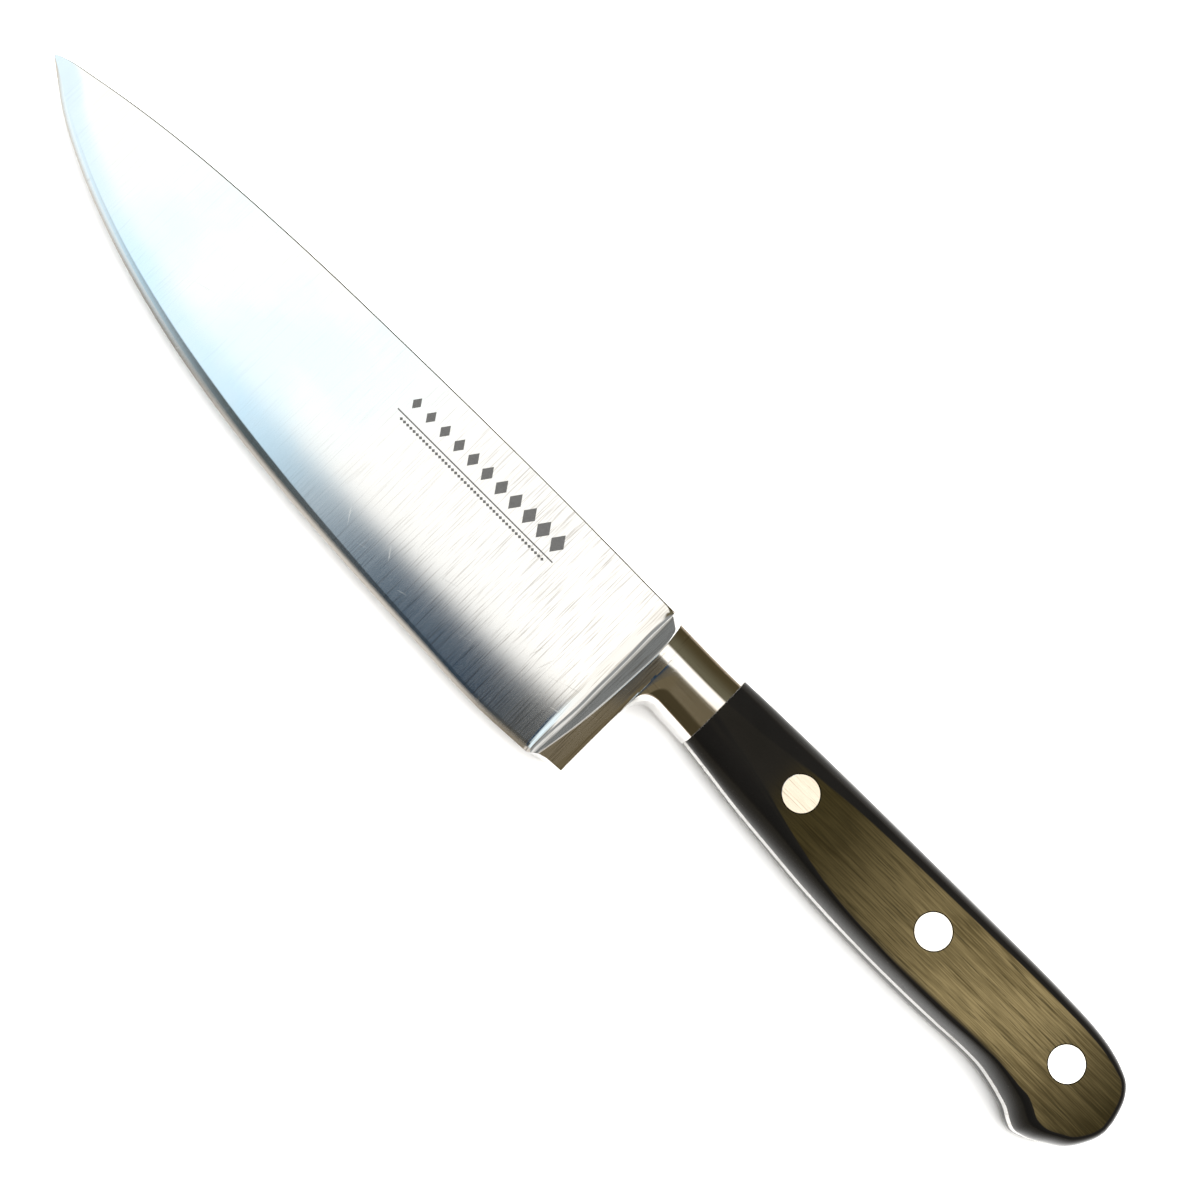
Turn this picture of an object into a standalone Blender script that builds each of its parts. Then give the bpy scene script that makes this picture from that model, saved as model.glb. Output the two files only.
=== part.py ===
"""Forged chef's knife lying on its right flank: +X from tip to butt, +Y to the spine, +Z up."""

import math

import bmesh
import bpy

MM = 0.001

# Overall sizes, in millimetres. x is measured from the tip, z from the middle plane.
LENGTH = 268.3
BACK_HIGHEST = 4.75
EDGE_LOWEST = -33.25
HANDLE_HALF = 8.5
GAP = 0.3

# Blade
BEVEL_HEIGHT = 1.0
BEHIND_EDGE_HALF = 0.22
EDGE_HALF = 0.03
SPINE_BREAK = 0.22
ROUND_PART = 7.3

# Bolster and shank
HEEL_X = 147.7
REAR_FACE_X = 154.5
SHANK_END_X = 166.4
BOLSTER_HALF = 7.0
BOLSTER_HALF_AT_HEEL = 2.3
FLAT_BACK_HALF = 1.8
BOLSTER_LOWEST = -31.05
REAR_BREAK = 0.2
FILLET_END_X = 158.1
CREASE_END_X = 157.3
CREASE_ANGLE = math.radians(25)

# Tang, scales and rivets
TANG_HALF = 1.5
TANG_INSET = 0.05
SCALE_START_X = SHANK_END_X + GAP
RAIL_END_X = 250.0
BUTT_TOP_Y = -6.6
BUTT_LOW_Y = -8.6
RIVETS = {
    "front": (187.3, -4.6),
    "middle": (221.0, -5.3),
    "rear": (254.2, -5.2),
}
HEAD_RADIUS = 3.52
HEAD_THICK = 2.0
HEAD_BREAK = 0.12
TUBE_RADIUS = 2.25
TUBE_BORE = 1.65
PIN_RADIUS = 1.35
PIN_END_Z = -3.6
TUBE_END_Z = 3.2
BORE_FLOOR_Z = -5.6
STEPS = 48

# Outlines as (x, y) points that smooth curves run through.
BACK_LINE = (
    (0, -3.6), (2.3, -2.75), (7.7, -1.6), (18.4, 0.25), (29.2, 1.6),
    (39.9, 2.5), (54.2, 3.3), (82.9, 4.05), (118.7, 4.4), (149, 4.1),
    (166, 3.95), (172, 4.17), (181, 4.35), (208, 4.62), (226, 4.7),
    (243, 4.7), (252, 4.42),
)
EDGE_LINE = (
    (0, -4.1), (2.3, -5.85), (7.7, -9.7), (18.4, -15.35), (29.2, -19.65),
    (47.1, -24.85), (65, -28.3), (82.9, -30.4), (100.8, -31.7),
    (118.7, -32.6), (136.6, -33.25), (HEEL_X, -32.7),
)
BELLY_LINE = (
    (158, -10.9), (166.7, -11.4), (172.4, -12.1), (181.3, -13.25),
    (190.3, -14.1), (199.2, -14.85), (208, -15.3), (226, -15.4),
    (234, -15.15), (240.4, -14.85), (244.5, -14.95), (248.5, -15.7),
    (252, -16.6),
)
TOP_END = (
    (250, 4.5), (254, 4.25), (258.8, 3.5), (262.4, 2.35), (265, 0.9),
    (266.9, -1.6), (267.9, -4.6), (LENGTH, BUTT_TOP_Y),
)
LOW_END = (
    (250, -16.1), (253, -17.1), (255, -18.3), (256.6, -18.95),
    (258.4, -18.6), (262.4, -16.65), (265.2, -14.75), (267, -12.2),
    (268, -10), (LENGTH, BUTT_LOW_Y),
)
SPINE_HALF = (
    (0, 0.13), (3, 0.42), (12, 0.62), (30, 0.8), (60, 0.95), (100, 1.1),
    (150, 1.25),
)
# The crest of the bolster's front, as (share of the height from the back, x).
CREST_LINE = (
    (0, 150.5), (0.05, 151.3), (0.12, 151.7), (0.25, 152), (0.4, 151.8),
    (0.6, 151.4), (0.79, 150.7), (0.89, 150.1), (1, 149.4),
)
HOLLOW_START = ((0, 146.1), (0.5, 146), (0.8, 146.2), (1, 146.9))
KNEE_LINE = ((0, 149.15), (0.6, 149.15), (1, 149.3))
KNEE_SHARE = ((0, 0.22), (0.5, 0.24), (0.8, 0.42), (0.92, 0.7), (1, 0.95))
KNEE_ANGLE = math.radians(38)
# How far the scales' rounded edges reach in from the outline, along x.
ROUND_TOP = (
    (166.7, 7.0), (176, 6.6), (184, 5.4), (190, 4.8), (196, 4.2),
    (208, 3.7), (226, 3.3), (243, 3.0), (256, 2.7), (LENGTH, 2.1),
)
ROUND_LOW = (
    (166.7, 7.0), (176, 6.2), (184, 4.8), (190, 3.7), (196, 2.8),
    (204, 1.9), (214, 1.5), (244, 1.5), (250, 2.2), (255.5, 3.4),
    (259, 2.4), (263, 1.9), (LENGTH, 1.9),
)
SWELL_END_X = 187.0

UPPER_STEPS = 8
LOWER_STEPS = 9


def clear_scene():
    for obj in list(bpy.data.objects):
        bpy.data.objects.remove(obj, do_unlink=True)


def smooth(points, x):
    """The height at x of a smooth curve through the points."""
    if x <= points[0][0]:
        return points[0][1]
    if x >= points[-1][0]:
        return points[-1][1]
    last = len(points) - 1
    i = max(k for k in range(last) if points[k][0] <= x)

    def slope(k):
        if k in (0, last):
            a, b = (0, 1) if k == 0 else (last - 1, last)
            return (points[b][1] - points[a][1]) / (points[b][0] - points[a][0])
        w0 = points[k][0] - points[k - 1][0]
        w1 = points[k + 1][0] - points[k][0]
        s0 = (points[k][1] - points[k - 1][1]) / w0
        s1 = (points[k + 1][1] - points[k][1]) / w1
        return (s0 * w1 + s1 * w0) / (w0 + w1)

    wide = points[i + 1][0] - points[i][0]
    t = (x - points[i][0]) / wide
    rise = points[i + 1][1] - points[i][1]
    a = slope(i) * wide - rise
    b = rise - slope(i + 1) * wide
    return points[i][1] + t * rise + t * (1 - t) * (a * (1 - t) + b * t)


def path(points, count):
    """Evenly spread places along a smooth curve through the points."""
    along = [0.0]
    for a, b in zip(points, points[1:]):
        along.append(along[-1] + math.dist(a, b))
    xs = [(s, p[0]) for s, p in zip(along, points)]
    ys = [(s, p[1]) for s, p in zip(along, points)]
    places = [along[-1] * k / count for k in range(count + 1)]
    return [(smooth(xs, s), smooth(ys, s)) for s in places]


def ease(share):
    share = min(1.0, max(0.0, share))
    return share * share * (3 - 2 * share)


def back_y(x):
    return smooth(BACK_LINE, x)


def low_y(x):
    """Cutting edge, then the underside of the bolster."""
    if x <= HEEL_X:
        return smooth(EDGE_LINE, x)
    under = ((HEEL_X, -32.7), (149.4, -31.75), (REAR_FACE_X, BOLSTER_LOWEST))
    return smooth(under, x)


def flank_z(y, top):
    """Half thickness of the bolster and shank at height y."""
    centre = top - ROUND_PART
    if y >= centre:
        across = 1 - ((y - centre) / ROUND_PART) ** 2
        return FLAT_BACK_HALF + (BOLSTER_HALF - FLAT_BACK_HALF) * math.sqrt(max(0.0, across))
    share = (centre - y) / (centre - BOLSTER_LOWEST)
    return BOLSTER_HALF + (BOLSTER_HALF_AT_HEEL - BOLSTER_HALF) * share ** 1.5


def upper_angles():
    return [math.pi / 2 * k / UPPER_STEPS for k in range(1, UPPER_STEPS + 1)]


def blade_section(x):
    """Half section from the back down to the edge, as (y, z)."""
    top = back_y(x)
    low = low_y(x)
    height = top - low
    size = min(1.0, height / 34)
    spine = smooth(SPINE_HALF, x)
    corner = min(SPINE_BREAK, spine * 0.5)
    behind = min(BEHIND_EDGE_HALF, spine * 0.45)
    bevel = min(BEVEL_HEIGHT, 0.18 * height)
    first = top - corner
    last = low + bevel

    def on_flank(y):
        return spine + (behind - spine) * (first - y) / (first - last)

    half = [(top, 0), (top, spine - corner)]
    for k in range(UPPER_STEPS):
        drop = 1 - math.cos(math.pi / 2 * k / (UPPER_STEPS - 1))
        y = first - ROUND_PART * size * drop
        half.append((y, on_flank(y)))
    start = half[-1][0]
    for k in range(1, LOWER_STEPS):
        y = start + (last - start) * k / (LOWER_STEPS - 1)
        half.append((y, on_flank(y)))
    return half + [(low, EDGE_HALF), (low, 0)]


def bolster_section(x, rear_break=0.0):
    """Half section of the bolster, which tapers from the shank down to the heel."""
    top = back_y(x)
    low = low_y(x)
    half = [(top, 0), (top, FLAT_BACK_HALF)]
    for angle in upper_angles():
        y = top - ROUND_PART * (1 - math.cos(angle))
        half.append((y, flank_z(y, top)))
    start = half[-1][0]
    for k in range(1, LOWER_STEPS + 1):
        y = start + (low - start) * k / LOWER_STEPS
        cut = rear_break * ease((start - y) / 8 - 1)
        half.append((y, flank_z(y, top) - cut))
    return half + [(low, 0)]


def shank_section(x):
    """Half section between the bolster and the scales, with a crease above its rounded belly."""
    top = back_y(x)
    turn = min(1.0, (x - REAR_FACE_X) / (FILLET_END_X - REAR_FACE_X))
    low = smooth(BELLY_LINE, x) - 7.2 * (1 - math.sqrt(1 - (1 - turn) ** 2))
    turn = min(1.0, (x - REAR_FACE_X) / (CREASE_END_X - REAR_FACE_X))
    crease = -6.25 - 10.2 * (1 - math.sqrt(1 - (1 - turn) ** 2))
    half = [(top, 0), (top, FLAT_BACK_HALF)]
    for angle in upper_angles():
        y = top - ROUND_PART * (1 - math.cos(angle))
        half.append((y, flank_z(y, top)))
    start = half[-1][0]
    for k in (1, 2, 3):
        y = start + (crease - start) * k / 3
        half.append((y, flank_z(y, top)))
    z_crease = half[-1][1]
    rest = LOWER_STEPS - 3
    begin = math.sin(CREASE_ANGLE)
    for k in range(1, rest + 1):
        angle = CREASE_ANGLE + (math.pi / 2 - CREASE_ANGLE) * k / rest
        y = crease - (crease - low) * (math.sin(angle) - begin) / (1 - begin)
        z = math.cos(angle) / math.cos(CREASE_ANGLE)
        half.append((y, FLAT_BACK_HALF + (z_crease - FLAT_BACK_HALF) * z))
    return half + [(low, 0)]


def whole_ring(half):
    """Both sides of a half section whose points are (x, y, z)."""
    other = [(x, y, -z) for x, y, z in reversed(half[1:-1])]
    return half + other


def ring_at(section, x):
    return whole_ring([(x, y, z) for y, z in section(x)])


def front_ring(step, beyond=0.0, fullness=None):
    """A ring on the bolster's front: a hollow up to a knee, then a straight slope to the crest."""
    nominal = bolster_section(151)
    top, low = nominal[0][0], nominal[-1][0]
    half = []
    for j in range(len(nominal)):
        t = (top - nominal[j][0]) / (top - low)
        start, knee, crest = (smooth(line, t) for line in (HOLLOW_START, KNEE_LINE, CREST_LINE))
        share = smooth(KNEE_SHARE, t)
        if fullness is not None:
            x, share = crest + beyond, fullness
        elif step <= 0.5:
            angle = KNEE_ANGLE * 2 * step
            x = start + (knee - start) * math.sin(angle) / math.sin(KNEE_ANGLE)
            share *= (1 - math.cos(angle)) / (1 - math.cos(KNEE_ANGLE))
        else:
            x = knee + (crest - knee) * (2 * step - 1)
            share += (1 - share) * (2 * step - 1)
        thin = blade_section(x)[j]
        thick = bolster_section(x)[j]
        y = thin[0] + (thick[0] - thin[0]) * share
        z = thin[1] + (thick[1] - thin[1]) * share
        half.append((x, y, z))
    return whole_ring(half)


def middle_ring(share, beyond, rear_break=0.0, end=REAR_FACE_X):
    """A ring between the bolster's crest and its rear face."""
    nominal = bolster_section(151)
    top, low = nominal[0][0], nominal[-1][0]
    half = []
    for j in range(len(nominal)):
        t = (top - nominal[j][0]) / (top - low)
        crest = smooth(CREST_LINE, t) + beyond
        x = crest + (end - crest) * share
        y, z = bolster_section(x, rear_break)[j]
        half.append((x, y, z))
    return whole_ring(half)


def rails():
    """Matching places along the handle's back and belly, from the scales' front to the butt."""
    count = 34
    top = []
    low = []
    for k in range(count):
        x = SCALE_START_X + (RAIL_END_X - SCALE_START_X) * k / count
        top.append((x, back_y(x)))
        low.append((x, smooth(BELLY_LINE, x)))
    return top + path(TOP_END, 18), low + path(LOW_END, 18)


def tang_ring(top, low):
    reach = [0, 0.02] + [0.05 + 0.9 * k / 14 for k in range(15)] + [0.98, 1]
    high = top[1] - TANG_INSET
    deep = low[1] + TANG_INSET
    half = [(top[0], high, 0), (top[0], high, TANG_HALF)]
    inner = reach[2:-2]
    for share in inner:
        x = top[0] + (low[0] - top[0]) * share
        half.append((x, high + (deep - high) * share, TANG_HALF))
    share = 0.975
    x = top[0] + (low[0] - top[0]) * share
    half.append((x, high + (deep - high) * share, TANG_HALF))
    half.append((low[0], deep, TANG_HALF))
    half.append((low[0], deep, 0))
    return whole_ring(half)


def loft(name, rings, material):
    """A closed skin over rings that hold the same number of points."""
    mesh = bpy.data.meshes.new(name)
    bm = bmesh.new()
    rows = []
    for ring in rings:
        rows.append([bm.verts.new((x * MM, y * MM, z * MM)) for x, y, z in ring])
    around = len(rows[0])
    for row, following in zip(rows, rows[1:]):
        for k in range(around):
            n = (k + 1) % around
            bm.faces.new((row[k], row[n], following[n], following[k]))
    bm.faces.new(list(reversed(rows[0])))
    bm.faces.new(rows[-1])
    bmesh.ops.recalc_face_normals(bm, faces=bm.faces)
    bm.to_mesh(mesh)
    bm.free()
    mesh.materials.append(material)
    return bpy.data.objects.new(name, mesh)


def steel(name, colour, roughness):
    made = bpy.data.materials.new(name)
    made.use_nodes = True
    shader = made.node_tree.nodes["Principled BSDF"]
    shader.inputs["Base Color"].default_value = (*colour, 1)
    shader.inputs["Metallic"].default_value = 1
    shader.inputs["Roughness"].default_value = roughness
    return made


def plastic(name, colour, roughness):
    made = steel(name, colour, roughness)
    made.node_tree.nodes["Principled BSDF"].inputs["Metallic"].default_value = 0
    return made


def cylinder(name, radius, low, high, place, into):
    bpy.ops.mesh.primitive_cylinder_add(
        vertices=STEPS,
        radius=radius * MM,
        depth=(high - low) * MM,
        location=(place[0] * MM, place[1] * MM, (low + high) / 2 * MM),
    )
    made = bpy.context.object
    made.name = name
    for collection in list(made.users_collection):
        collection.objects.unlink(made)
    into.objects.link(made)
    made.hide_render = True
    made.display_type = "WIRE"
    return made


def cut(obj, cutter):
    made = obj.modifiers.new("cut_" + cutter.name, "BOOLEAN")
    made.operation = "DIFFERENCE"
    made.solver = "EXACT"
    made.object = cutter


def swell(x):
    """Half thickness of the handle at x."""
    share = ease((x - SCALE_START_X) / (SWELL_END_X - SCALE_START_X))
    return BOLSTER_HALF + (HANDLE_HALF - BOLSTER_HALF) * share


def inset_rail(rail, table, turn_from, sign, angle):
    """The rail moved in and up to one angle of the rounded edge."""
    moved = []
    end = len(rail) - 1
    for k, (x, y) in enumerate(rail):
        turn = ease((k - turn_from) / (end - turn_from))
        away = (-turn, sign * (1 - turn))
        long = math.hypot(*away)
        reach = smooth(table, x) * (1 - math.cos(angle)) / long
        z0 = TANG_HALF + GAP
        z = z0 + (swell(x) - z0) * math.sin(angle)
        moved.append((x + away[0] * reach, y + away[1] * reach, z))
    return moved


def scale(name, side, material):
    """One handle scale, built as contours that climb and close in from the tang to the flank."""
    top, low = rails()
    mesh = bpy.data.meshes.new(name)
    bm = bmesh.new()
    angles = [math.pi / 2 * k / 9 for k in range(10)]
    layers = []
    for angle in angles:
        upper = inset_rail(top, ROUND_TOP, 38, -1, angle)
        lower = inset_rail(low, ROUND_LOW, 42, 1, angle)
        contour = []
        for rail in (upper, lower):
            contour.append([bm.verts.new((x * MM, y * MM, side * z * MM)) for x, y, z in rail])
        layers.append(contour)
    count = len(top)
    for (upper, lower), (upper2, lower2) in zip(layers, layers[1:]):
        for k in range(count - 1):
            bm.faces.new((upper[k], upper[k + 1], upper2[k + 1], upper2[k]))
            bm.faces.new((lower[k + 1], lower[k], lower2[k], lower2[k + 1]))
        bm.faces.new((upper[0], upper2[0], lower2[0], lower[0]))
        bm.faces.new((upper[-1], lower[-1], lower2[-1], upper2[-1]))
    for upper, lower in (layers[0], layers[-1]):
        for k in range(count - 1):
            bm.faces.new((upper[k], upper[k + 1], lower[k + 1], lower[k]))
    bmesh.ops.recalc_face_normals(bm, faces=bm.faces)
    bm.to_mesh(mesh)
    bm.free()
    mesh.materials.append(material)
    return bpy.data.objects.new(name, mesh)


def turned(name, profile, place, flip, material):
    """A round piece from a profile of (radius, z), which runs from its top to its bottom."""
    mesh = bpy.data.meshes.new(name)
    points = [(r * MM, 0, z * MM) for r, z in profile]
    mesh.from_pydata(points, [(k, k + 1) for k in range(len(points) - 1)], [])
    mesh.materials.append(material)
    made = bpy.data.objects.new(name, mesh)
    made.location = (place[0] * MM, place[1] * MM, 0)
    if flip:
        made.rotation_euler = (math.pi, 0, 0)
    screw = made.modifiers.new("turn", "SCREW")
    screw.axis = "Z"
    screw.steps = STEPS
    screw.render_steps = STEPS
    screw.use_merge_vertices = True
    screw.merge_threshold = 0.00001
    return made


def male_profile():
    under = HANDLE_HALF - HEAD_THICK
    return [
        (0, HANDLE_HALF),
        (HEAD_RADIUS - HEAD_BREAK, HANDLE_HALF),
        (HEAD_RADIUS, HANDLE_HALF - HEAD_BREAK),
        (HEAD_RADIUS, under),
        (PIN_RADIUS, under),
        (PIN_RADIUS, PIN_END_Z),
        (0, PIN_END_Z),
    ]


def female_profile():
    """Seen with its head up, as it is before it is turned over: the tube opens downwards."""
    under = HANDLE_HALF - HEAD_THICK
    return [
        (0, HANDLE_HALF),
        (HEAD_RADIUS - HEAD_BREAK, HANDLE_HALF),
        (HEAD_RADIUS, HANDLE_HALF - HEAD_BREAK),
        (HEAD_RADIUS, under),
        (TUBE_RADIUS, under),
        (TUBE_RADIUS, -TUBE_END_Z),
        (TUBE_BORE, -TUBE_END_Z),
        (TUBE_BORE, -BORE_FLOOR_Z),
        (0, -BORE_FLOOR_Z),
    ]


def forged_rings():
    rings = []
    reach = [0, 0.35, 0.9, 1.7, 3, 4.8, 7, 10, 13.5, 17.5, 22, 27, 32.5, 38.5, 45]
    reach += [52, 60, 68, 77, 86, 95, 104, 113, 121, 128, 134, 139, 142.5]
    for x in reach:
        rings.append(ring_at(blade_section, x))
    for step in (0, 0.12, 0.24, 0.37, 0.5, 0.75, 0.94):
        rings.append(front_ring(step))
    rings.append(front_ring(1, 0.0, 0.985))
    rings.append(front_ring(1, 0.22, 0.997))
    rings.append(middle_ring(0, 0.5))
    rings.append(middle_ring(0.5, 0.5))
    rings.append(middle_ring(1, 0.5, end=REAR_FACE_X - REAR_BREAK))
    rings.append(middle_ring(1, 0.5, rear_break=REAR_BREAK))
    for beyond in (0.02, 0.12, 0.3, 0.6, 1.0, 1.5, 2.1, 2.8, 3.6, 5, 7, 9, 11):
        rings.append(ring_at(shank_section, REAR_FACE_X + beyond))
    rings.append(ring_at(shank_section, SHANK_END_X))
    top, low = rails()
    first = (SHANK_END_X, top[0][1]), (SHANK_END_X, low[0][1])
    rings.append(tang_ring(*first))
    for pair in zip(top, low):
        rings.append(tang_ring(*pair))
    return rings


def build():
    clear_scene()
    scene = bpy.context.scene
    parts = bpy.data.collections.new("chef_knife")
    cutters = bpy.data.collections.new("cutters")
    scene.collection.children.link(parts)
    scene.collection.children.link(cutters)

    forged = steel("forged_steel", (0.62, 0.62, 0.6), 0.28)
    black = plastic("black_acetal", (0.022, 0.019, 0.017), 0.3)
    pin = steel("rivet_steel", (0.66, 0.65, 0.62), 0.3)

    knife = bpy.data.objects.new("knife_frame", None)
    parts.objects.link(knife)
    middle_y = (BACK_HIGHEST + EDGE_LOWEST) / 2
    knife.location = (-LENGTH / 2 * MM, -middle_y * MM, HANDLE_HALF * MM)
    cutters_frame = bpy.data.objects.new("cutters_frame", None)
    cutters.objects.link(cutters_frame)
    cutters_frame.location = knife.location

    pieces = [loft("forged_blade", forged_rings(), forged)]
    pieces.append(scale("scale_left", 1, black))
    pieces.append(scale("scale_right", -1, black))
    seat = HANDLE_HALF - HEAD_THICK - GAP
    for label, place in RIVETS.items():
        hole = cylinder("hole_" + label, TUBE_RADIUS + GAP, -20, 20, place, cutters)
        upper = cylinder("seat_left_" + label, HEAD_RADIUS + GAP, seat, 20, place, cutters)
        lower = cylinder("seat_right_" + label, HEAD_RADIUS + GAP, -20, -seat, place, cutters)
        for helper in (hole, upper, lower):
            helper.parent = cutters_frame
        for piece in pieces[:3]:
            cut(piece, hole)
        cut(pieces[1], upper)
        cut(pieces[2], lower)
    for label, place in RIVETS.items():
        pieces.append(turned(f"rivet_{label}_male", male_profile(), place, False, pin))
        pieces.append(turned(f"rivet_{label}_female", female_profile(), place, True, pin))
    for piece in pieces:
        parts.objects.link(piece)
        piece.parent = knife


build()
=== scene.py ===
# %% [markdown]
# # A forged chef's knife with a full bolster
#
# The knife lies on its right flank. Blade, bolster and tang are one forging, two black
# acetal scales are riveted on the tang, and the rivets are ground flush with the scales.
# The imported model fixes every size. This lesson gives each piece its fine surface, its
# finish and the studio light that shows them.

# %% Load the fixed frame
import math
from functools import partial

import bmesh
import bpy
from mathutils import Matrix, Vector


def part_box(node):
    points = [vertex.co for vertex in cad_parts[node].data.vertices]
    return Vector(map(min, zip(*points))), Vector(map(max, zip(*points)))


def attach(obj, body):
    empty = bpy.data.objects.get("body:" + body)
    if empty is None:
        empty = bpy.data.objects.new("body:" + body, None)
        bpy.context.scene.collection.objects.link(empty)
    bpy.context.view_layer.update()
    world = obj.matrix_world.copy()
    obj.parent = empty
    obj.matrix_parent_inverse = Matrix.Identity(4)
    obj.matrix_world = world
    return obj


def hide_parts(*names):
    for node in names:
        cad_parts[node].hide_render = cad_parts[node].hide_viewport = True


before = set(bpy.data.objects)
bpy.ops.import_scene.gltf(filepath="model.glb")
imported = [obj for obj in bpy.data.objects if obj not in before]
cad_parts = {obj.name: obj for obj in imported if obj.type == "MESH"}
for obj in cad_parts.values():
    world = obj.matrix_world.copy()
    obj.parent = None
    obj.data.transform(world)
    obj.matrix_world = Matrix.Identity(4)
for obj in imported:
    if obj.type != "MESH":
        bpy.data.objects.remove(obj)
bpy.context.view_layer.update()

# %% [markdown]
# ## Where things are
#
# A knife maker measures from the tip and from the middle plane of the blade, so the
# outlines below are in millimetres from the tip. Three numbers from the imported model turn
# them into the frame's metres: where the tip is, how high the back reaches, and the height
# of the middle plane over the table.

# %% From the maker's millimetres to the frame
MM = 0.001
forging_low, forging_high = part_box("forged_blade")
scale_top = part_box("scale_left")[1]
BACK_HIGHEST = 4.75
TIP_X = forging_low[0]
LINE_Y = scale_top[1] - BACK_HIGHEST * MM
MIDDLE_Z = (forging_low[2] + forging_high[2]) / 2
BOLSTER_HALF = (forging_high[2] - forging_low[2]) / 2 / MM
HANDLE_HALF = (scale_top[2] - MIDDLE_Z) / MM
LENGTH = (forging_high[0] - forging_low[0]) / MM


def placed(x, y, z):
    """A point in millimetres from the tip and the middle plane, as a place in the frame."""
    return Vector((TIP_X + x * MM, LINE_Y + y * MM, MIDDLE_Z + z * MM))


def mesh_of(name, bm):
    mesh = bpy.data.meshes.new(name)
    bm.to_mesh(mesh)
    bm.free()
    return mesh


def in_scene(name, data):
    made = bpy.data.objects.new(name, data)
    bpy.context.scene.collection.objects.link(made)
    return made


def baked(piece):
    """The piece's mesh with its modifiers applied."""
    return bpy.data.meshes.new_from_object(piece.evaluated_get(bpy.context.evaluated_depsgraph_get()))


print(f"length {LENGTH:.1f} mm, bolster {2 * BOLSTER_HALF:.1f} mm, handle {2 * HANDLE_HALF:.1f} mm thick")

# %% [markdown]
# ## Smooth outlines
#
# The knife's outline is a few long curves. Each is given by the places where its bend
# changes, and a smooth interpolation runs through them. A Bezier curve object could do this
# too, but a function can be asked for the height at any distance from the tip, which is what
# a loft of cross-sections needs.

# %% A smooth curve through points


def smooth(points, x):
    """The height at x of a smooth curve through the points."""
    if x <= points[0][0]:
        return points[0][1]
    if x >= points[-1][0]:
        return points[-1][1]
    last = len(points) - 1
    i = max(k for k in range(last) if points[k][0] <= x)

    def slope(k):
        if k in (0, last):
            a, b = (0, 1) if k == 0 else (last - 1, last)
            return (points[b][1] - points[a][1]) / (points[b][0] - points[a][0])
        w0 = points[k][0] - points[k - 1][0]
        w1 = points[k + 1][0] - points[k][0]
        s0 = (points[k][1] - points[k - 1][1]) / w0
        s1 = (points[k + 1][1] - points[k][1]) / w1
        return (s0 * w1 + s1 * w0) / (w0 + w1)

    wide = points[i + 1][0] - points[i][0]
    t = (x - points[i][0]) / wide
    rise = points[i + 1][1] - points[i][1]
    a = slope(i) * wide - rise
    b = rise - slope(i + 1) * wide
    return points[i][1] + t * rise + t * (1 - t) * (a * (1 - t) + b * t)


def path(points, count):
    """Evenly spread places along a smooth curve through the points."""
    along = [0.0]
    for a, b in zip(points, points[1:]):
        along.append(along[-1] + math.dist(a, b))
    xs = [(s, p[0]) for s, p in zip(along, points)]
    ys = [(s, p[1]) for s, p in zip(along, points)]
    places = [along[-1] * k / count for k in range(count + 1)]
    return [(smooth(xs, s), smooth(ys, s)) for s in places]


def ease(share):
    share = min(1.0, max(0.0, share))
    return share * share * (3 - 2 * share)


# %% The knife's outlines
HEEL_X, REAR_FACE_X, SHANK_END_X = 147.7, 154.5, 166.55
FILLET_END_X, CREASE_END_X, SWELL_END_X = 158.1, 157.3, 187.0
BOLSTER_LOWEST, BOLSTER_HALF_AT_HEEL = -31.05, 2.3
FLAT_BACK_HALF, ROUND_PART = 1.8, 7.3
TANG_HALF = 1.5
RAIL_START_X, RAIL_END_X = 166.7, 250.0
BUTT_TOP_Y, BUTT_LOW_Y = -6.6, -8.6

BACK_LINE = (
    (0, -3.6), (2.3, -2.75), (7.7, -1.6), (18.4, 0.25), (29.2, 1.6),
    (39.9, 2.5), (54.2, 3.3), (82.9, 4.05), (118.7, 4.4), (149, 4.1),
    (166, 3.95), (172, 4.17), (181, 4.35), (208, 4.62), (226, 4.7),
    (243, 4.7), (252, 4.42),
)
EDGE_LINE = (
    (0, -4.1), (2.3, -5.85), (7.7, -9.7), (18.4, -15.35), (29.2, -19.65),
    (47.1, -24.85), (65, -28.3), (82.9, -30.4), (100.8, -31.7),
    (118.7, -32.6), (136.6, -33.25), (HEEL_X, -32.7),
)
HEEL_UNDERSIDE = ((HEEL_X, -32.7), (149.4, -31.75), (REAR_FACE_X, BOLSTER_LOWEST))
BELLY_LINE = (
    (158, -10.9), (166.7, -11.4), (172.4, -12.1), (181.3, -13.25),
    (190.3, -14.1), (199.2, -14.85), (208, -15.3), (226, -15.4),
    (234, -15.15), (240.4, -14.85), (244.5, -14.95), (248.5, -15.7),
    (252, -16.6),
)
TOP_END = (
    (250, 4.5), (254, 4.25), (258.8, 3.5), (262.4, 2.35), (265, 0.9),
    (266.9, -1.6), (267.9, -4.6), (LENGTH, BUTT_TOP_Y),
)
LOW_END = (
    (250, -16.1), (253, -17.1), (255, -18.3), (256.6, -18.95),
    (258.4, -18.6), (262.4, -16.65), (265.2, -14.75), (267, -12.2),
    (268, -10), (LENGTH, BUTT_LOW_Y),
)
SPINE_HALF = ((0, 0.13), (3, 0.42), (12, 0.62), (30, 0.8), (60, 0.95), (100, 1.1), (150, 1.25))


def back_y(x):
    return smooth(BACK_LINE, x)


def low_y(x):
    return smooth(EDGE_LINE if x <= HEEL_X else HEEL_UNDERSIDE, x)


print(f"blade {HEEL_X:.0f} mm along the edge, {back_y(136) - low_y(136):.1f} mm deep at the heel")

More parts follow.
